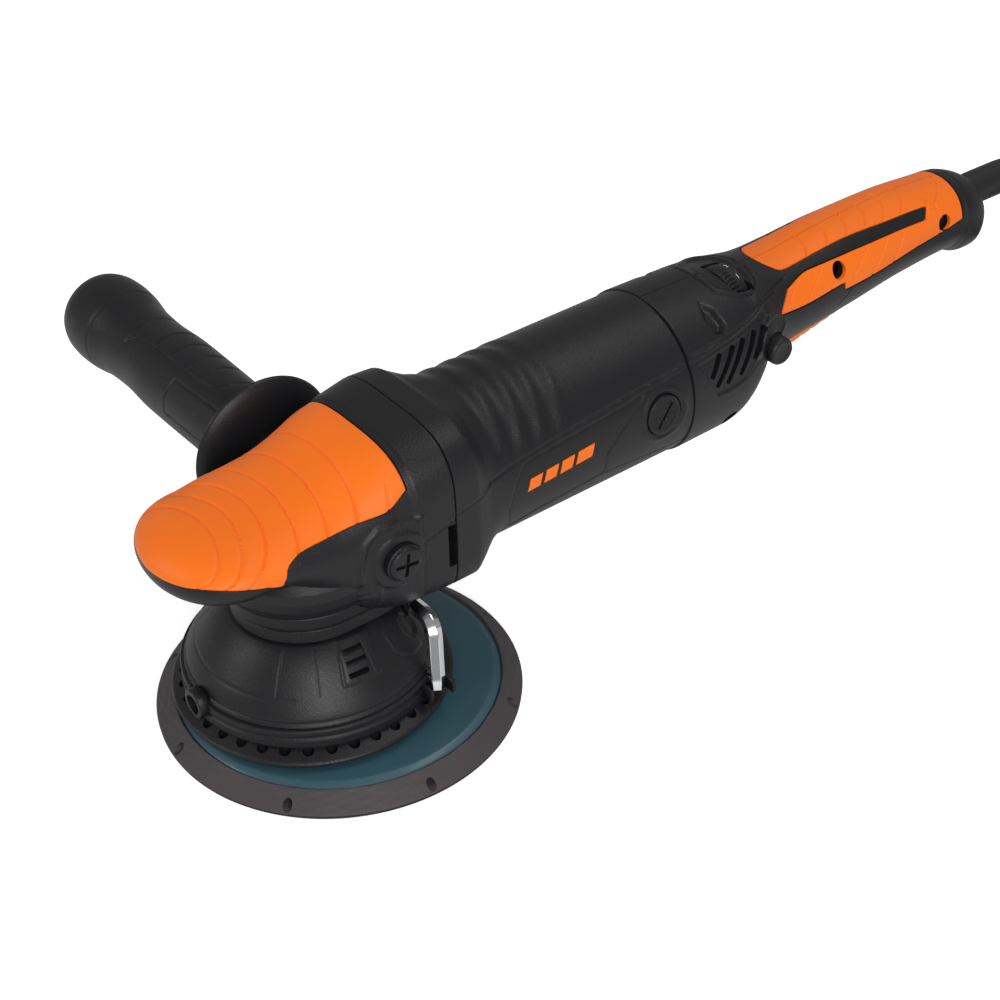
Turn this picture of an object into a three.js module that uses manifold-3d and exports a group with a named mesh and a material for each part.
// Long-throw random orbital polisher with its side handle, storage key and mains lead.
//
// Millimetres. The origin is on the spindle axis, in the plane that the pad's hook face rests on.
// +Z runs up the spindle, +X from the nose towards the rear handle, and the side handle points along +Y.

import * as THREE from 'three';
import { mergeVertices } from 'three/addons/utils/BufferGeometryUtils.js';
import Module from 'manifold-3d';

const wasm = await Module();
wasm.setup();

// ---------------------------------------------------------------- driving dimensions

const GAP = 0.3; // space left between two pieces that touch
const MOTOR_Z = 85.3; // height of the armature axis
const PAD_RADIUS = 75; // 150 mm backing plate
const ORBIT_OFFSET = 10.5; // half of the 21 mm throw
const ORBIT_ANGLE = THREE.MathUtils.degToRad(-28); // where the pad stands at rest, from +X
const PAD_X = ORBIT_OFFSET * Math.cos(ORBIT_ANGLE);
const PAD_Y = ORBIT_OFFSET * Math.sin(ORBIT_ANGLE);

const NOSE_X = -64;
const SEAM_FRONT_X = 46; // head to motor housing
const SEAM_REAR_X = 172.5; // motor housing to rear shells
const HANDLE_END_X = 376;
const BARREL_RADIUS = 36.1;
const SIDE_HANDLE_X = 20.7;
const SIDE_HANDLE_Z = 81.6;

const WHEEL_TEETH = 28;
const PINION_TEETH = 7;
const WHEEL_PITCH_RADIUS = 24; // at the outer end of the teeth

const CORD_RADIUS = 3.5;
const COIL_CENTRE = { x: 497, y: -60 };
const COIL_MEAN_RADIUS = 42;
const COIL_COLUMNS = 4;
const COIL_LAYERS = 2;
const COIL_LIFT = 1.7; // the tie's strap lies under the coil

// ---------------------------------------------------------------- finishes

const finish = (color, roughness, metalness) => new THREE.MeshStandardMaterial({ color, roughness, metalness });
const BLACK_PLASTIC = finish(0x202024, 0.55, 0);
const GLOSS_BLACK = finish(0x101012, 0.25, 0);
const ORANGE_GRIP = finish(0xf07818, 0.6, 0);
const BLACK_RUBBER = finish(0x18181a, 0.8, 0);
const PAD_FOAM = finish(0x2b2726, 0.85, 0);
const TEAL_BOARD = finish(0x2f5966, 0.5, 0);
const STEEL = finish(0x9a9da1, 0.35, 1);
const CHROME = finish(0xd8dadd, 0.12, 1);
const COPPER = finish(0xb36b3a, 0.4, 1);
const BRASS = finish(0xc0a050, 0.35, 1);
const CARBON = finish(0x2c2c2e, 0.7, 0);
const ALUMINIUM = finish(0xb4b7ba, 0.45, 1);
const HOOK_FABRIC = finish(0x303033, 0.95, 0);

// ---------------------------------------------------------------- solids and booleans

/** Drop every attribute but position, share the vertices and remove triangles of no area. */
function weld(geometry) {
  const bare = new THREE.BufferGeometry();
  bare.setAttribute('position', geometry.getAttribute('position').clone());
  if (geometry.index) bare.setIndex(geometry.index.clone());
  const merged = mergeVertices(bare, 1e-4);
  const index = merged.index.array;
  const kept = [];
  for (let i = 0; i < index.length; i += 3) {
    const [a, b, c] = [index[i], index[i + 1], index[i + 2]];
    if (a !== b && b !== c && c !== a) kept.push(a, b, c);
  }
  merged.setIndex(kept);
  return merged;
}

/** Signed volume of a closed mesh, negative when its faces point inwards. */
function signedVolume(geometry) {
  const p = geometry.getAttribute('position');
  const [a, b, c] = [new THREE.Vector3(), new THREE.Vector3(), new THREE.Vector3()];
  const index = geometry.index.array;
  let sum = 0;
  for (let i = 0; i < index.length; i += 3) {
    a.fromBufferAttribute(p, index[i]);
    b.fromBufferAttribute(p, index[i + 1]);
    c.fromBufferAttribute(p, index[i + 2]);
    sum += a.dot(b.cross(c));
  }
  return sum / 6;
}

/** A closed geometry as a manifold solid with its faces out. */
function solid(geometry) {
  const welded = weld(geometry);
  if (signedVolume(welded) < 0) {
    const index = Array.from(welded.index.array);
    for (let i = 0; i < index.length; i += 3) [index[i + 1], index[i + 2]] = [index[i + 2], index[i + 1]];
    welded.setIndex(index);
  }
  const vertProperties = new Float32Array(welded.getAttribute('position').array);
  const triVerts = new Uint32Array(welded.index.array);
  return new wasm.Manifold(new wasm.Mesh({ numProp: 3, vertProperties, triVerts }));
}

/** A manifold solid back as a three.js geometry. */
function geometryOf(body) {
  const mesh = body.getMesh();
  const geometry = new THREE.BufferGeometry();
  geometry.setAttribute('position', new THREE.BufferAttribute(new Float32Array(mesh.vertProperties), 3));
  geometry.setIndex(new THREE.BufferAttribute(new Uint32Array(mesh.triVerts), 1));
  return geometry;
}

const cut = (body, ...tools) => tools.reduce((rest, tool) => rest.subtract(tool), body);
const join = (body, ...others) => others.reduce((sum, other) => sum.add(other), body);

const polisher = new THREE.Group();

/** Hang one finished piece in a group. */
function add(name, shape, material, group = polisher) {
  const geometry = shape.isBufferGeometry ? geometryOf(solid(shape)) : geometryOf(shape);
  const mesh = new THREE.Mesh(geometry, material);
  mesh.name = name;
  group.add(mesh);
  return mesh;
}

// ---------------------------------------------------------------- shape helpers

/** A turned solid on the Z axis from [radius, height] pairs that start and end on the axis or close. */
function turned(profile, segments = 20) {
  const points = profile.map(([radius, height]) => new THREE.Vector2(radius, height));
  return new THREE.LatheGeometry(points, segments).rotateX(Math.PI / 2);
}

/** A washer-like ring on the Z axis. */
function sleeve(outer, inner, low, high, segments = 20) {
  return turned([[inner, low], [outer, low], [outer, high], [inner, high], [inner, low]], segments);
}

/** A plain round bar on the Z axis. */
function bar(radius, low, high, segments = 14) {
  return turned([[0, low], [radius, low], [radius, high], [0, high]], segments);
}

/** A rectangular block between two corners. */
function block(x0, x1, y0, y1, z0, z1) {
  return new THREE.BoxGeometry(x1 - x0, y1 - y0, z1 - z0).translate((x0 + x1) / 2, (y0 + y1) / 2, (z0 + z1) / 2);
}

const alongX = (geometry) => geometry.rotateY(Math.PI / 2); // +Z of the turned profile becomes +X
const alongY = (geometry) => geometry.rotateX(-Math.PI / 2); // +Z of the turned profile becomes +Y
const onMotorAxis = (geometry) => alongX(geometry).translate(0, 0, MOTOR_Z);
const onPadAxis = (geometry) => geometry.translate(PAD_X, PAD_Y, 0);

/** An outline in X and Z, carried along Y from one side to the other. */
function sidePlate(outline, y0, y1) {
  const shape = new THREE.Shape(outline.map(([x, z]) => new THREE.Vector2(x, z)));
  const plate = new THREE.ExtrudeGeometry(shape, { depth: y1 - y0, bevelEnabled: false });
  return plate.rotateX(Math.PI / 2).translate(0, y1, 0);
}

/** Twice the signed area of a ring seen along X. */
function ringArea(ring) {
  return ring.reduce((sum, p, i) => {
    const q = ring[(i + 1) % ring.length];
    return sum + p.y * q.z - q.y * p.z;
  }, 0);
}

/** Close the end of a loft with the ring's own points, wound to match the skin. */
function capRing(ring, start, first) {
  const flat = ring.map((p) => new THREE.Vector2(p.y, p.z));
  const wanted = Math.sign(ringArea(ring)) * (first ? -1 : 1);
  return THREE.ShapeUtils.triangulateShape(flat, []).flatMap(([a, b, c]) => {
    const turn = Math.sign((flat[b].x - flat[a].x) * (flat[c].y - flat[a].y)
      - (flat[c].x - flat[a].x) * (flat[b].y - flat[a].y));
    return turn === wanted ? [start + a, start + b, start + c] : [start + a, start + c, start + b];
  });
}

/** Skin over rings of equal length: a solid with capped ends, or a tube wall when looped. */
function loft(rings, looped = false) {
  const count = rings[0].length;
  const positions = rings.flat().flatMap((p) => [p.x, p.y, p.z]);
  const index = [];
  const strips = looped ? rings.length : rings.length - 1;
  for (let i = 0; i < strips; i += 1) {
    for (let j = 0; j < count; j += 1) {
      const a = i * count + j;
      const b = i * count + ((j + 1) % count);
      const c = ((i + 1) % rings.length) * count + ((j + 1) % count);
      const d = ((i + 1) % rings.length) * count + j;
      index.push(a, b, c, a, c, d);
    }
  }
  if (!looped) {
    index.push(...capRing(rings[0], 0, true));
    index.push(...capRing(rings.at(-1), (rings.length - 1) * count, false));
  }
  const geometry = new THREE.BufferGeometry();
  geometry.setAttribute('position', new THREE.Float32BufferAttribute(positions, 3));
  geometry.setIndex(index);
  return geometry;
}

const signedPower = (value, power) => Math.sign(value) * Math.abs(value) ** power;

/** A superellipse across X: exponent 2 is an ellipse, larger is squarer. The lower half can have its own. */
function oval({ x, low, high, half, exponent = 2, foot = exponent }, count, inset = 0) {
  const middle = (low + high) / 2;
  const rise = (high - low) / 2 - inset;
  const side = half - inset;
  return Array.from({ length: count }, (_, i) => {
    const t = (i / count) * Math.PI * 2;
    const power = 2 / (t > Math.PI ? foot : exponent);
    const y = side * signedPower(Math.cos(t), power);
    const z = middle + rise * signedPower(Math.sin(t), power);
    return new THREE.Vector3(x, y, z);
  });
}

/** Value at x on the straight lines through [x, value] pairs, held level beyond both ends. */
function along(pairs, x) {
  const next = pairs.findIndex(([at]) => at >= x);
  if (next <= 0) return pairs[next === 0 ? 0 : pairs.length - 1][1];
  const [x0, v0] = pairs[next - 1];
  const [x1, v1] = pairs[next];
  return v0 + ((v1 - v0) * (x - x0)) / (x1 - x0);
}

// ---------------------------------------------------------------- head: gear housing and palm cover

// [x, value] pairs along the head
const HEAD_TOP = [[-34, 106.8], [-20, 108.2], [-5, 111.2], [12, 117.2], [20, 120], [46, 123.8]];
const HEAD_BOTTOM = [[-34, 80.6], [-24, 79.8], [-14, 73], [0, 62], [14, 53.5], [46, 50.5]];
const HEAD_HALF = [[-34, 34.4], [-20, 35.8], [0, 37.2], [20, 38.6], [46, 40]];
const HEAD_EXPONENT = [[-34, 2.1], [0, 2.3], [25, 3], [46, 3.6]];
const HEAD_FOOT = [[-20, 2.1], [0, 3], [14, 4.6], [26, 5.6], [46, 5.6]]; // exponent of the lower half
const NOSE_START_X = -34;
const NOSE_TIP_Z = 93.4;
const COVER_THICKNESS = 3;

/** Size of the head's cross-section at x, closing to the nose tip by a quarter superellipse. */
function headSection(x) {
  const reach = Math.max(0, (NOSE_START_X - x) / (NOSE_START_X - NOSE_X));
  const swell = Math.sqrt(Math.max(0, 1 - reach ** 2.3));
  const at = Math.max(x, NOSE_START_X);
  return {
    x,
    low: NOSE_TIP_Z - (NOSE_TIP_Z - along(HEAD_BOTTOM, at)) * swell ** 0.7,
    high: NOSE_TIP_Z + (along(HEAD_TOP, at) - NOSE_TIP_Z) * swell,
    half: along(HEAD_HALF, at) * swell,
    exponent: along(HEAD_EXPONENT, at),
    foot: along(HEAD_FOOT, at),
  };
}

/** The head's solid, shrunk by an inset on every side but the flat rear face. */
function headSolid(inset, segments = 20) {
  const stations = [0.992, 0.95, 0.85, 0.66, 0.36].map((reach) => {
    const length = NOSE_START_X - NOSE_X - inset;
    return NOSE_START_X - reach * length;
  });
  stations.push(-34, -20, -5, 12, 20, 46);
  return loft(stations.map((x) => {
    const stretched = x < NOSE_START_X
      ? NOSE_START_X - ((NOSE_START_X - x) * (NOSE_START_X - NOSE_X)) / (NOSE_START_X - NOSE_X - inset)
      : x;
    const section = headSection(stretched);
    const margin = Math.min(inset, section.half * 0.6, (section.high - section.low) * 0.3);
    return oval({ ...section, x }, segments, margin);
  }));
}

/** The space above the cover's lower edge, moved up and forward by a gap. */
function coverZone(gap) {
  return sidePlate([
    [-90, 95 + gap], [-66, 93 + gap], [-45, 89.5 + gap], [-21.5 - gap, 87.6 + gap], [-20 - gap, 91 + gap],
    [-12, 95.6 + gap], [16, 94.6 + gap], [27 - gap, 106.6], [31 - gap, 140], [-90, 140],
  ], -60, 60);
}

/** The stadium-shaped neck that carries the shroud, from its foot up into the head. */
function neckSolid() {
  const layers = [[50.8, 30], [57, 30], [59, 31.5], [65, 32.5], [67, 34], [76, 35.5]];
  const rings = layers.map(([z, radius]) => Array.from({ length: 20 }, (_, i) => {
    const t = ((i + 0.5) / 20) * Math.PI * 2;
    const shift = Math.cos(t) > 0 ? Math.min(16, SEAM_FRONT_X - 1 - radius) : 0;
    return new THREE.Vector3(z, radius * Math.sin(t), shift + radius * Math.cos(t));
  }));
  return loft(rings).applyMatrix4(new THREE.Matrix4().set(0, 0, 1, 0, 0, -1, 0, 0, 1, 0, 0, 0, 0, 0, 0, 1));
}

const outerHead = solid(headSolid(0));
const shaftTunnel = solid(alongX(bar(24, 0, 47, 18)).translate(0, 0, MOTOR_Z));
const gearCavity = join(
  solid(bar(26.5, 62, 92, 20)),
  shaftTunnel,
  solid(alongX(bar(31.2, 40, 47, 20)).translate(0, 0, MOTOR_Z)),
  solid(bar(16.6, 48, 62.5, 16)),
  solid(bar(9.9, 90, 104.4)),
);
const handleBore = solid(alongY(bar(4.6, 25, 50, 12)).translate(SIDE_HANDLE_X, 0, SIDE_HANDLE_Z));
const plugBore = solid(alongY(turned([[0, -50], [8.4, -50], [8.4, -38.6],
  [4.6, -38.6], [4.6, -28], [0, -28]]))
  .translate(SIDE_HANDLE_X, 0, SIDE_HANDLE_Z));
const handleBoss = solid(alongY(bar(13, 30, 42.5, 20)).translate(SIDE_HANDLE_X, 0, SIDE_HANDLE_Z));
const plugBoss = solid(alongY(bar(11.5, -38.6, -30, 20)).translate(SIDE_HANDLE_X, 0, SIDE_HANDLE_Z));
const exhaustSlots = [-1, 1].map((side) => solid(block(42, 47, side * 36 - 6, side * 36 + 6, 68, 88)));

add('gear_housing', cut(
  join(
    outerHead.subtract(solid(coverZone(0))),
    solid(headSolid(COVER_THICKNESS + GAP)),
    solid(neckSolid()),
    handleBoss,
    plugBoss,
  ),
  gearCavity, handleBore, plugBore, ...exhaustSlots,
), BLACK_PLASTIC);

add('palm_cover',
  outerHead.intersect(solid(coverZone(GAP))).subtract(solid(headSolid(COVER_THICKNESS))), ORANGE_GRIP);

// ---------------------------------------------------------------- gearbox

const bearingRing = (outer, inner, low, high) => sleeve(outer, inner, low, high, 16);

add('bearing_plate', onMotorAxis(turned([
  [13.4, 30], [16, 30], [16, 40.4], [30.8, 40.4], [30.8, 44], [7, 44], [7, 39], [13.4, 39], [13.4, 30],
])), ALUMINIUM);
add('pinion_bearing', onMotorAxis(bearingRing(13, 5.4, 30.4, 38.4)), STEEL);
add('spindle_upper_bearing', bearingRing(9.5, 6.4, 96, 103.8), STEEL);
add('spindle_lower_bearing', bearingRing(16, 7.5, 52.6, 61.4), STEEL);

/**
 * A straight bevel gear on the X axis whose teeth all point at an apex at the origin. The pitch cone
 * passes through pitchRadius at pitchHeight from the apex, and the teeth stop faceWidth nearer to it.
 */
function bevelGear({ teeth, pitchRadius, pitchHeight, faceWidth, bore, backing, phase, share }) {
  const slant = Math.hypot(pitchRadius, pitchHeight);
  const module = (2 * pitchRadius) / teeth;
  // turn, height in modules
  const tooth = [[-share, -1.1], [-share * 0.62, 0.85], [share * 0.62, 0.85], [share, -1.1]];
  const points = (place) => Array.from({ length: teeth * tooth.length }, (_, i) => {
    const [offset, lift] = tooth[i % tooth.length];
    const turn = ((Math.floor(i / tooth.length) + phase + offset) / teeth) * Math.PI * 2;
    const [radius, height] = place(lift * module);
    return new THREE.Vector3(height, radius * Math.sin(turn), radius * Math.cos(turn));
  });
  const flank = (scale) => points((lift) => [
    (pitchRadius + (pitchHeight / slant) * lift) * scale,
    (pitchHeight - (pitchRadius / slant) * lift) * scale,
  ]);
  const innerScale = 1 - faceWidth / slant;
  const boreAt = (height) => points(() => [bore, height]);
  const innerFoot = (pitchHeight + (pitchRadius / slant) * 1.1 * module) * innerScale;
  return loft([boreAt(pitchHeight + backing), flank(1), flank(innerScale), boreAt(innerFoot)], true);
}

const PINION_PITCH_RADIUS = (WHEEL_PITCH_RADIUS * PINION_TEETH) / WHEEL_TEETH;
// The wheel's local height runs down from the apex, so it is turned over onto the spindle.
const wheelGeometry = bevelGear({
  teeth: WHEEL_TEETH, pitchRadius: WHEEL_PITCH_RADIUS, pitchHeight: PINION_PITCH_RADIUS,
  faceWidth: 8, bore: 8.6, backing: 7, phase: 0.5, share: 0.25,
}).applyMatrix4(new THREE.Matrix4().set(0, 0, 1, 0, 0, 1, 0, 0, -1, 0, 0, MOTOR_Z, 0, 0, 0, 1));
const pinionGeometry = bevelGear({
  teeth: PINION_TEETH, pitchRadius: PINION_PITCH_RADIUS, pitchHeight: WHEEL_PITCH_RADIUS,
  faceWidth: 8, bore: 2.3, backing: 3, phase: 0.5, share: 0.22,
}).translate(0, 0, MOTOR_Z);

add('spindle', turned([
  [0, 46.6], [9, 46.6], [9, 49.2], [7.2, 49.2], [7.2, 62], [8.2, 62], [8.2, 80], [6, 82], [6, 103], [0, 103],
]), STEEL);
add('bevel_wheel', wheelGeometry, STEEL);
add('bevel_pinion', pinionGeometry, STEEL);

// ---------------------------------------------------------------- eccentric drive and backing plate

const CARRIER_RADIUS = 28.2;
const counterweightArc = THREE.MathUtils.degToRad(68);
const weightShape = new THREE.Shape();
weightShape.absarc(0, 0, 40, Math.PI - counterweightArc, Math.PI + counterweightArc, false);
weightShape.absarc(0, 0, 20, Math.PI + counterweightArc, Math.PI - counterweightArc, true);
const counterweight = solid(new THREE.ExtrudeGeometry(weightShape,
  { depth: 12, bevelEnabled: false, curveSegments: 12 })
  .rotateZ(ORBIT_ANGLE).translate(0, 0, 20.5));
add('eccentric_carrier', cut(
  join(solid(bar(CARRIER_RADIUS, 22, 40.6, 24)), solid(bar(9, 40, 46.3)), counterweight),
  solid(onPadAxis(bar(14.3, 10, 38.7, 16))),
), STEEL);
add('pad_bearing', onPadAxis(bearingRing(14, 6.5, 22.6, 38.2)), STEEL);
add('pad_spindle', onPadAxis(turned([
  [0, 8], [13, 8], [13, 12], [8, 12], [8, 22.2], [6.2, 22.2], [6.2, 37.8], [0, 37.8]])), STEEL);

const boltRecess = 7.6;
add('backing_board', onPadAxis(turned([
  [boltRecess, 4.6], [64, 4.6], [66, 7.6], [62.8, 9.2], [30, 9.2], [28, 7.6], [boltRecess, 7.6], [boltRecess, 4.6],
], 30)), TEAL_BOARD);
add('foam_rim', onPadAxis(turned([
  [boltRecess, 1.5], [PAD_RADIUS, 1.5], [PAD_RADIUS, 2.2], [67.2, 8.6], [66.4, 7.8], [64.3, 4.3],
  [boltRecess, 4.3], [boltRecess, 1.5],
], 30)), PAD_FOAM);
add('hook_face', onPadAxis(sleeve(PAD_RADIUS - 0.3, boltRecess, 0, 1.2, 30)), HOOK_FABRIC);
add('pad_bolt', onPadAxis(turned([
  [0, 1.4], [6.6, 1.4], [6.6, 6.2], [3.8, 6.2], [3.8, 7.6], [0, 7.6]], 16)), STEEL);

// ---------------------------------------------------------------- shroud, band and vent ring

const keyX = 32.5;
const keyZ = 46.6;
const KEY_FLAT = 6; // across flats
const BELL = [[30.5, 50.5], [33, 48.8], [37.4, 44.8], [41.6, 40], [45.5, 35], [48.8, 30], [50.6, 26.4]];
const shroudWall = turned([
  ...BELL, [48.3, 26.4], [43.4, 34], [35.4, 43], [31, 46.4], [28.8, 47.4], [28.8, 50.5], BELL[0],
], 30);
const keyTrough = solid(block(keyX - 3.8, keyX + 5.2, -33, 33, keyZ - 5.2, 50));
const keyChannel = solid(block(keyX - 6, keyX + 12, -48, 48, keyZ - 3.8, 60));
const ventSlots = [0, 1, 2].map((row) => solid(
  new THREE.BoxGeometry(12, 9, 1.6).translate(43, 0, 33 + row * 4.2).rotateZ(THREE.MathUtils.degToRad(-78)),
));
const outerBell = solid(turned([[0, 50.5], ...BELL, [0, 26.4]], 30));
add('shroud',
  cut(join(solid(shroudWall), keyTrough.intersect(outerBell)), keyChannel, ...ventSlots), BLACK_PLASTIC);
const keyTip = new THREE.Vector3(26.6, -49.6, 21);
const clipJaws = cut(
  solid(block(keyTip.x - 6, keyTip.x + 6.6, -53.6, -43, 18.6, 24.4)),
  solid(block(keyTip.x - 4.2, keyTip.x + 4.8, -60, -44.6, 10, 30)),
);
const latchLoop = cut(
  solid(alongX(bar(6.4, -54.8, -50, 14)).rotateZ(-0.04).translate(0, 0, 24)),
  solid(alongX(bar(4.2, -60, -52.6, 10)).rotateZ(-0.04).translate(0, 0, 24.6)),
);
add('shroud_band', cut(join(solid(turned([
  [48.8, 17.4], [52.4, 18], [52.4, 21.5], [51.4, 22.2], [52.2, 23], [52.2, 25.4], [51, 26.1], [48.8, 26.1], [48.8, 17.4],
], 30)), clipJaws, latchLoop),
  solid(turned([[0, 10], [48.8, 10], [48.8, 26.1], [51.5, 26.2], [48, 36], [0, 36]], 30))), GLOSS_BLACK);

const VENT_HOLES = 30;
const ventHoles = Array.from({ length: VENT_HOLES }, (_, i) => solid(bar(2.3, 8, 20, 5)
  .translate(51.6, 0, 0).rotateZ(((i + 0.5) / VENT_HOLES) * Math.PI * 2)));
add('vent_ring', cut(solid(turned([
  [45, 11.4], [56.4, 11.4], [57, 12.4], [56.4, 13.6], [49, 17.1], [45, 17.1], [45, 11.4],
], 30)), ...ventHoles), BLACK_PLASTIC);

/** A bar of hexagonal section, across flats, along a path of straight legs with a rounded corner. */
function hexKey() {
  const rodRadius = KEY_FLAT / Math.sqrt(3);
  const section = new THREE.Shape(Array.from({ length: 6 }, (_, i) => {
    const t = (i / 6) * Math.PI * 2;
    return new THREE.Vector2(rodRadius * Math.cos(t), rodRadius * Math.sin(t));
  }));
  const corner = new THREE.Vector3(keyX, -40.5, keyZ);
  const far = new THREE.Vector3(keyX, 30, keyZ);
  const bend = 7;
  const into = corner.clone().add(far.clone().sub(corner).setLength(bend));
  const out = corner.clone().add(keyTip.clone().sub(corner).setLength(bend));
  const path = new THREE.CurvePath();
  path.add(new THREE.LineCurve3(far, into));
  path.add(new THREE.QuadraticBezierCurve3(into, corner, out));
  path.add(new THREE.LineCurve3(out, keyTip));
  return new THREE.ExtrudeGeometry(section, { steps: 16, extrudePath: path });
}
add('hex_key', hexKey(), CHROME);

// ---------------------------------------------------------------- side handle and blanking plug

const sideHandle = new THREE.Group();
sideHandle.position.set(SIDE_HANDLE_X, 0, SIDE_HANDLE_Z);
polisher.add(sideHandle);
add('side_handle_grip', alongY(turned([
  [4.4, 59], [16.5, 59], [17.2, 64], [18.6, 92], [18.9, 126], [17.9, 148], [18.4, 162], [20.6, 176],
  [20.9, 190], [19.4, 196], [15.4, 200], [0, 201.6], [0, 82], [4.4, 82], [4.4, 59],
], 18)), BLACK_RUBBER, sideHandle);
add('hand_guard', alongY(turned([
  [4.4, 52.6], [14, 52.6], [24, 53.4], [31.9, 56.6], [32, 58.6], [24, 55.6], [16, 55.2], [16, 58.6], [4.4, 58.6], [4.4, 52.6],
], 24)), GLOSS_BLACK, sideHandle);
add('side_handle_stud', alongY(turned([
  [0, 28], [4, 28], [4, 42.8], [8, 43], [8, 52.2], [4, 52.2], [4, 80], [0, 80],
], 12)), STEEL, sideHandle);

const slotDepth = 2;
const crossSlot = [0, Math.PI / 2].map((turn) => solid(
  new THREE.BoxGeometry(8.6, slotDepth * 2, 1.6).rotateY(turn).translate(0, -43, 0),
));
add('bore_plug', cut(solid(alongY(turned([
  [0, -43], [6.6, -43], [7.9, -41.8], [7.9, -38.9], [4.2, -38.9], [4.2, -30], [0, -30],
], 20))), ...crossSlot), BLACK_PLASTIC, sideHandle);

// ---------------------------------------------------------------- motor housing

const BARREL_BORE = 33;
const housingSections = [
  { x: 46.3, low: 50.5, high: 123.8, half: 40, exponent: 3.6, foot: 5.6 },
  { x: 57, low: 50.2, high: 123.6, half: 39.8, exponent: 3.6, foot: 5.6 },
  { x: 60, low: 49.4, high: 121.8, half: 38.8, exponent: 3.1, foot: 4.8 },
  { x: 66, low: 49, high: 121.2, half: 37.2, exponent: 2.2, foot: 2.9 },
  { x: 76, low: 48.6, high: 120.9, half: 36.2, exponent: 2, foot: 2 },
  { x: 100, low: 48.8, high: 121.2, half: BARREL_RADIUS },
  { x: SEAM_REAR_X - 0.2, low: 49.2, high: 121.4, half: BARREL_RADIUS },
];
const housingBore = (x) => ({ x, low: MOTOR_Z - BARREL_BORE, high: MOTOR_Z + BARREL_BORE, half: BARREL_BORE });
const housingWall = solid(loft([
  ...housingSections.map((section) => oval(section, 22)),
  ...housingSections.toReversed().map(({ x }) => oval(x < 50
    ? { ...housingBore(x), low: 59, high: MOTOR_Z + 31, half: 31 } : housingBore(x), 22)),
], true));

const BRUSH_X = 156;
const BRUSH_TILT = THREE.MathUtils.degToRad(4.3);
const webWindows = [0, 1, 2, 3].map((i) => solid(new THREE.BoxGeometry(12, 14, 24)
  .translate(169, 24.5, 0).rotateX((i + 0.5) * (Math.PI / 2) + BRUSH_TILT).translate(0, 0, MOTOR_Z)));
const rearWeb = cut(
  solid(onMotorAxis(sleeve(33.5, 11.4, 167.6, 171, 24))).add(solid(onMotorAxis(sleeve(14.2, 11.4, 164.6, 172.2, 24)))),
  ...webWindows,
);
const capHoles = [0, 1].map((side) => solid(alongY(bar(9.4, -45, -28, 16))
  .rotateX(-BRUSH_TILT + side * Math.PI).translate(BRUSH_X, 0, MOTOR_Z)));
add('motor_housing', cut(housingWall.add(rearWeb), ...capHoles), BLACK_PLASTIC);

// ---------------------------------------------------------------- motor

add('armature_shaft', onMotorAxis(turned([
  [0, 13], [2, 13], [2, 27.5], [5, 27.5], [5, 46], [4.1, 46], [4.1, 180], [0, 180],
], 16)), STEEL);
add('armature_core', onMotorAxis(sleeve(17.4, 15.3, 84, 134, 20)), STEEL);
add('armature_windings', onMotorAxis(turned([
  [4.4, 75], [12, 75], [15, 79], [15, 139], [12, 143], [4.4, 143], [4.4, 75]], 16)), COPPER);
add('commutator', onMotorAxis(sleeve(11.6, 4.4, 144, 164, 24)), COPPER);
add('rear_bearing', onMotorAxis(bearingRing(11, 4.4, 165.4, 172.2)), STEEL);

const FAN_BLADES = 9;
const fanBlades = Array.from({ length: FAN_BLADES }, (_, i) => solid(
  new THREE.BoxGeometry(8, 1.6, 19).translate(60.5, 0, 17.5).rotateX(((i + 0.5) / FAN_BLADES) * Math.PI * 2)
    .translate(0, 0, MOTOR_Z),
));
add('cooling_fan', join(
  solid(onMotorAxis(sleeve(29, 4.4, 64, 66, 24))),
  solid(onMotorAxis(sleeve(9.5, 4.4, 56, 66, 24))),
  ...fanBlades,
), BLACK_PLASTIC);

const STATOR_RADIUS = 32.4;
const slotShape = new THREE.Shape();
slotShape.absarc(0, 0, STATOR_RADIUS, 0, Math.PI * 2, false);
const statorHole = new THREE.Path();
const poleHalf = THREE.MathUtils.degToRad(52);
[Math.PI / 2, -Math.PI / 2].forEach((pole) => {
  statorHole.absarc(0, 0, 18.2, pole - poleHalf, pole + poleHalf, false);
  statorHole.absarc(0, 0, 27.4, pole + poleHalf - 0.28, pole + Math.PI - poleHalf + 0.28, false);
});
slotShape.holes.push(statorHole);
add('stator_core', new THREE.ExtrudeGeometry(slotShape, { depth: 50, bevelEnabled: false, curveSegments: 10 })
  .rotateZ(Math.PI / 2).rotateY(Math.PI / 2).translate(84, 0, MOTOR_Z), STEEL);

/** A field coil: a rounded loop of square section wrapped around one pole of the stator. */
function fieldCoil(side) {
  const steps = 16;
  const rings = Array.from({ length: steps }, (_, i) => {
    const t = (i / steps) * Math.PI * 2;
    const swing = signedPower(Math.cos(t), 0.25);
    const reach = signedPower(Math.sin(t), 0.25);
    return [[19.2, 0], [26, 0], [26, 1], [19.2, 1]].map(([radius, outside]) => {
      const angle = swing * (THREE.MathUtils.degToRad(60) + outside * THREE.MathUtils.degToRad(17));
      const x = 109 + reach * (28 + outside * 5.4);
      return new THREE.Vector3(x, radius * Math.sin(angle), MOTOR_Z + side * radius * Math.cos(angle));
    });
  });
  return loft(rings, true);
}
add('field_coil_upper', fieldCoil(1), COPPER);
add('field_coil_lower', fieldCoil(-1), COPPER);

// ---------------------------------------------------------------- brushes, one set on each side

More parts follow.
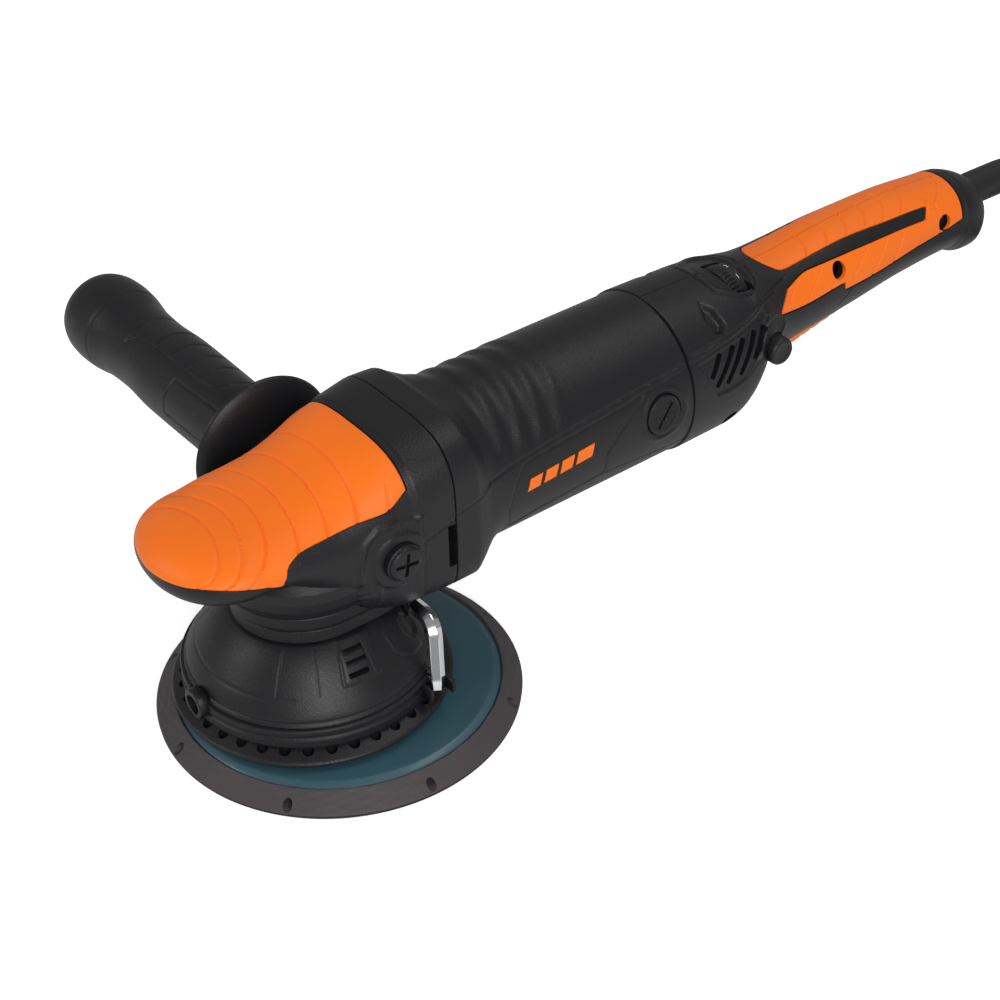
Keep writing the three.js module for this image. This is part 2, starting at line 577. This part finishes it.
['left', 'right'].forEach((sideName, side) => {
  const brushes = new THREE.Group();
  brushes.position.set(BRUSH_X, 0, MOTOR_Z);
  brushes.rotation.x = -BRUSH_TILT + side * Math.PI;
  polisher.add(brushes);
  add(`brush_holder_${sideName}`, cut(solid(block(-5.2, 5.2, -28.6, -13.4, -6.2, 6.2)),
    solid(block(-3.7, 3.7, -40, -10, -4.7, 4.7))), BRASS, brushes);
  add(`carbon_brush_${sideName}`, block(-3.3, 3.3, -21, -12, -4.3, 4.3), CARBON, brushes);
  add(`brush_cap_${sideName}`, cut(solid(alongY(turned([
    [0, -36.4], [8, -36.4], [8.8, -35.6], [8.8, -29.2], [0, -29.2]], 20))),
  solid(block(-5.5, 5.5, -38, -35, -0.8, 0.8))), BLACK_PLASTIC, brushes);
});

// ---------------------------------------------------------------- rear shells and their grips

const SHELL_WALL = 2.6;
const SPLIT = 0.15; // each shell stops this far from the middle plane
const GRIP_DEPTH = 1.9;
const PAD_FRONT_X = 242;
const PAD_REAR_X = 355;
// Angles up from the side of the handle: the lower grip, the black stripe, then the upper grip.
const LOWER_GRIP = [-12, 33];
const UPPER_GRIP = [47, 83];
const SHELL_ANGLES = [-90, -52, -13, -12, 10, 33, 34, 46, 47, 65, 83, 84, 90];

const REAR_PROFILE = [ // x, top, bottom, half width
  [172.7, 121.5, 49.1, 36.2], [205, 121, 49.3, 35.2], [217.6, 119.6, 51, 33.2],
  [219.4, 119.3, 61, 32.6], [221, 119, 74.4, 31.8], [228, 117.8, 75, 29.4],
  [241.6, 116.6, 75, 26], [242, 116.6, 75, 26],
  [258, 117.8, 75.4, 24.1], [285, 120.2, 77, 22.4], [320, 120.9, 80.2, 20.3], [355, 118.6, 81.4, 18.8],
  [355.4, 118.6, 81.4, 18.8], [364, 117, 77.6, 19.2], [369, 115.4, 77, 18.6], [374, 112.4, 79.4, 16.4],
  [HANDLE_END_X, 110, 82.4, 14],
];

/** One point on the rear body's skin, sunk by an inset, on the left (-1) or right (+1) half. */
function skinPoint([x, high, low, half], degrees, side, inset) {
  const t = THREE.MathUtils.degToRad(degrees);
  const y = side * (SPLIT + (half - SPLIT - inset) * Math.abs(Math.cos(t)));
  return new THREE.Vector3(x, y, (high + low) / 2 + ((high - low) / 2 - inset) * Math.sin(t));
}

const within = (value, [low, high]) => value >= low && value <= high;

/** How far the shell's skin is sunk to take a grip pad. */
function gripSink(x, degrees) {
  const padded = within(degrees, LOWER_GRIP) || within(degrees, UPPER_GRIP);
  return padded && within(x, [PAD_FRONT_X, PAD_REAR_X]) ? GRIP_DEPTH : 0;
}

/** Half of the rear body as a C-shaped wall. */
function rearShell(side) {
  return loft(REAR_PROFILE.map((station) => {
    const outer = SHELL_ANGLES.map((a) => skinPoint(station, a, side, gripSink(station[0], a)));
    const wall = station[0] > PAD_FRONT_X - 1 ? SHELL_WALL + GRIP_DEPTH : SHELL_WALL;
    const inner = SHELL_ANGLES.toReversed().map((a) => skinPoint(station, a, side, wall));
    return [...outer, ...inner];
  }));
}

/** A grip pad that fills the sunk place on one shell. */
function gripPad(side, [low, high]) {
  const edge = 1;
  const angles = [low + edge, ...SHELL_ANGLES.filter((a) => a > low + edge && a < high - edge), high - edge];
  const stations = REAR_PROFILE.filter(([x]) => within(x, [PAD_FRONT_X, PAD_REAR_X]))
    .map(([x, ...rest]) => [x === PAD_FRONT_X ? x + 0.4 : x === PAD_REAR_X ? x - 0.4 : x, ...rest]);
  return loft(stations.map((station) => [
    ...angles.map((a) => skinPoint(station, a, side, 0)),
    ...angles.toReversed().map((a) => skinPoint(station, a, side, GRIP_DEPTH - GAP)),
  ]));
}

const DIAL = { x: 217.5, y: -3, z: 107, radius: 13.6, half: 4.6 };
const BUTTON = { x: 222, z: 92.5 };
const TRIGGER_PIVOT = { x: 316, z: 88 };
const SHELL_SCREWS = [[200, 64.6, 28], [271, 107.3, 18], [342.7, 105.1, 13.4]]; // x, z, depth of the head below the middle

const dialOpening = solid(block(
  DIAL.x - DIAL.half - 1.4, DIAL.x + DIAL.half + 1.4, DIAL.y - 12.6, DIAL.y + 12.6, 104, 130));
const triggerOpening = solid(block(236.6, 321, -10.9, 10.9, 60, 93));
const triggerSockets = solid(alongY(bar(2.3, -14.4, 14.4, 10))
  .translate(TRIGGER_PIVOT.x, 0, TRIGGER_PIVOT.z));
const buttonHole = solid(alongY(bar(6.8, -45, -18, 16)).translate(BUTTON.x, 0, BUTTON.z));
const CORD_ANCHOR = new THREE.Vector3(374, 0, 102.6); // where the strain relief passes the end wall
const CORD_DROOP = THREE.MathUtils.degToRad(1);
const onCordAxis = (geometry) => alongX(geometry).rotateY(CORD_DROOP).translate(...CORD_ANCHOR);
const cordHole = solid(onCordAxis(bar(7.5, -22, 12, 16)));
const endPlug = (side) => solid(block(
  371, HANDLE_END_X - 0.4, side > 0 ? SPLIT : -14, side > 0 ? 14 : -SPLIT, 84, 112))
  .intersect(solid(alongX(bar(13.4, 376, 389, 16)).translate(0, 0, 96.4)));

const sideVents = (side) => [0, 1, 2, 3, 4].map((i) =>
  solid(new THREE.BoxGeometry(2.2, 14, 24 - Math.abs(i - 2) * 3.8)
  .rotateY(THREE.MathUtils.degToRad(24)).translate(185.5 + i * 7.6, side * 33, 90.5 + i * 2.6)));

/** Post for one shell screw: with a counterbore for its head on the left, a pilot hole on the right. */
function screwPost([x, z, reach], side) {
  const span = side < 0 ? [-reach, -SPLIT] : [SPLIT, reach];
  return solid(alongY(bar(5, ...span, 12)).translate(x, 0, z));
}
const screwHoles = ([x, z, reach], side) => (side < 0
  ? [solid(alongY(bar(3.9, -45, -reach + 8, 12)).translate(x, 0, z)),
    solid(alongY(bar(2, -45, 0.5, 8)).translate(x, 0, z))]
  : [solid(alongY(bar(2, -1, 9.4, 8)).translate(x, 0, z))]);

[['left', -1], ['right', 1]].forEach(([sideName, side]) => {
  const posts = SHELL_SCREWS.map((screw) => screwPost(screw, side));
  const holes = SHELL_SCREWS.flatMap((screw) => screwHoles(screw, side));
  add(`rear_shell_${sideName}`, cut(
    join(solid(rearShell(side)), endPlug(side), ...posts),
    ...holes, dialOpening, triggerOpening, triggerSockets, cordHole,
    ...(side < 0 ? [buttonHole] : []), ...sideVents(side),
  ), BLACK_PLASTIC);
  add(`upper_grip_${sideName}`, gripPad(side, UPPER_GRIP), ORANGE_GRIP);
  add(`lower_grip_${sideName}`, cut(solid(gripPad(side, LOWER_GRIP)), ...(side < 0 ? holes : [])), ORANGE_GRIP);
});

SHELL_SCREWS.forEach(([x, z, reach], i) => {
  add(`shell_screw_${i + 1}`, alongY(turned([
    [0, -reach + 4.8], [3.4, -reach + 4.8], [3.4, -reach + 7.7], [1.6, -reach + 7.7], [1.6, 9], [0, 9]], 10))
    .translate(x, 0, z), STEEL);
});

// ---------------------------------------------------------------- controls and wiring

const trigger = sidePlate([
  [238.8, 79], [238.8, 72.5], [242, 66.6], [246, 65.8], [270, 70.2], [300, 77.4], [316, 81.4], [319.6, 84.8],
  [319.6, 90.6], [312.6, 91.4], [304, 84], [256, 80],
], -9.4, 9.4);
add('trigger',
  join(solid(trigger), solid(alongY(bar(1.9, -14, 14, 10)).translate(TRIGGER_PIVOT.x, 0, TRIGGER_PIVOT.z))),
  ORANGE_GRIP);
add('switch_body', block(272, 304, -9, 9, 86.2, 101), BLACK_PLASTIC);
add('lock_button', alongY(turned([
  [0, -37.4], [5.4, -37.4], [6.3, -36.4], [6.3, -27], [3.4, -27], [3.4, -17.5], [0, -17.5]], 16))
  .translate(BUTTON.x, 0, BUTTON.z), BLACK_PLASTIC);

const dialRidges = Array.from({ length: 20 }, (_, i) => {
  const radius = i % 2 ? DIAL.radius : DIAL.radius - 0.8;
  const t = (i / 20) * Math.PI * 2;
  return new THREE.Vector2(radius * Math.cos(t), radius * Math.sin(t));
});
const dialWheel = new THREE.ExtrudeGeometry(
  new THREE.Shape(dialRidges), { depth: DIAL.half * 2, bevelEnabled: false })
  .translate(0, 0, -DIAL.half).rotateY(Math.PI / 2).translate(DIAL.x, DIAL.y, DIAL.z);
const dialAxle = alongX(bar(2.6, -14, 8.5, 10)).translate(DIAL.x, DIAL.y, DIAL.z);
add('speed_dial', join(solid(dialWheel), solid(dialAxle)), BLACK_PLASTIC);
add('speed_module', block(184, 203.2, -16, 12, 84, 106), BLACK_PLASTIC);

add('strain_relief', onCordAxis(turned([
  [0, -17], [6.2, -17], [6.2, 1], [7.6, 3], [8, 8], [8, 30], [7, 38], [5.2, 46], [0, 46],
], 16)), BLACK_RUBBER);
const bootEnd = new THREE.Vector3(46.3, 0, 0)
  .applyAxisAngle(new THREE.Vector3(0, 1, 0), CORD_DROOP).add(CORD_ANCHOR);

const octagon = new THREE.Shape(Array.from({ length: 8 }, (_, i) => {
  const t = ((i + 0.5) / 8) * Math.PI * 2;
  return new THREE.Vector2(CORD_RADIUS * Math.cos(t), CORD_RADIUS * Math.sin(t));
}));
const route = (points) => new THREE.CatmullRomCurve3(
  points.map((p) => new THREE.Vector3(...p)), false, 'centripetal');

const coilOuterTurn = COIL_MEAN_RADIUS + (COIL_COLUMNS - 1) * CORD_RADIUS;
const coilOuter = COIL_MEAN_RADIUS + COIL_COLUMNS * CORD_RADIUS;
const coilInner = COIL_MEAN_RADIUS - COIL_COLUMNS * CORD_RADIUS;
const coilTop = COIL_LIFT + COIL_LAYERS * 2 * CORD_RADIUS;
const entryX = COIL_CENTRE.x + coilOuterTurn;
const exitY = COIL_CENTRE.y - coilOuterTurn;

add('cord', new THREE.ExtrudeGeometry(octagon, {
  steps: 32,
  extrudePath: route([
    bootEnd.toArray(), [436, 0, 100.8], [450, 0, 98], [464, 0, 91.8], [477, 0, 81.8], [489, 0, 68.2], [499, 0, 52], [507.6, 0, 36],
    [515, 0, 22], [524, -1, 11], [533.5, -4, 5.4], [541, -9.5, 4], [546, -17, 4.6],
    [548.6, -25, COIL_LIFT + CORD_RADIUS],
    [entryX, -31.6, COIL_LIFT + CORD_RADIUS],
  ]),
}), BLACK_RUBBER);
add('cord_coil', sleeve(coilOuter, coilInner, COIL_LIFT, coilTop, 28).translate(COIL_CENTRE.x, COIL_CENTRE.y, 0), BLACK_RUBBER);

const tie = cut(
  solid(block(-6, 6, coilInner - 2.2, coilOuter + 1.6, 0.2, coilTop + 1.5)),
  solid(block(-8, 8, coilInner - 1.2, coilOuter + 0.3, COIL_LIFT - 0.4, coilTop + 0.3)),
);
add('cord_tie', tie.translate([COIL_CENTRE.x, COIL_CENTRE.y, 0]), HOOK_FABRIC);

const plugFace = COIL_CENTRE.x - 52;
const plugZ = 9.2;
add('cord_tail', new THREE.ExtrudeGeometry(octagon, {
  steps: 8,
  extrudePath: route([
    [COIL_CENTRE.x - 28.4, exitY, coilTop - CORD_RADIUS], [COIL_CENTRE.x - 38, exitY - 0.2, plugZ + 1.8],
    [plugFace + 1, exitY - 0.4, plugZ],
  ]),
}), BLACK_RUBBER);
const plug = new THREE.Group();
plug.position.set(plugFace, exitY - 0.4, plugZ);
polisher.add(plug);
const plugPins = [-1, 1].map((side) => solid(
  block(-63, -44, side * 6.35 - 0.8, side * 6.35 + 0.8, -3.2, 3.2),
));
add('plug', join(solid(alongX(turned([
  [0, -46], [8.6, -46], [9, -44], [9, -30], [7.4, -16], [4.8, -10], [4.6, 0], [0, 0]], 16))), ...plugPins), BLACK_RUBBER, plug);

export default polisher;
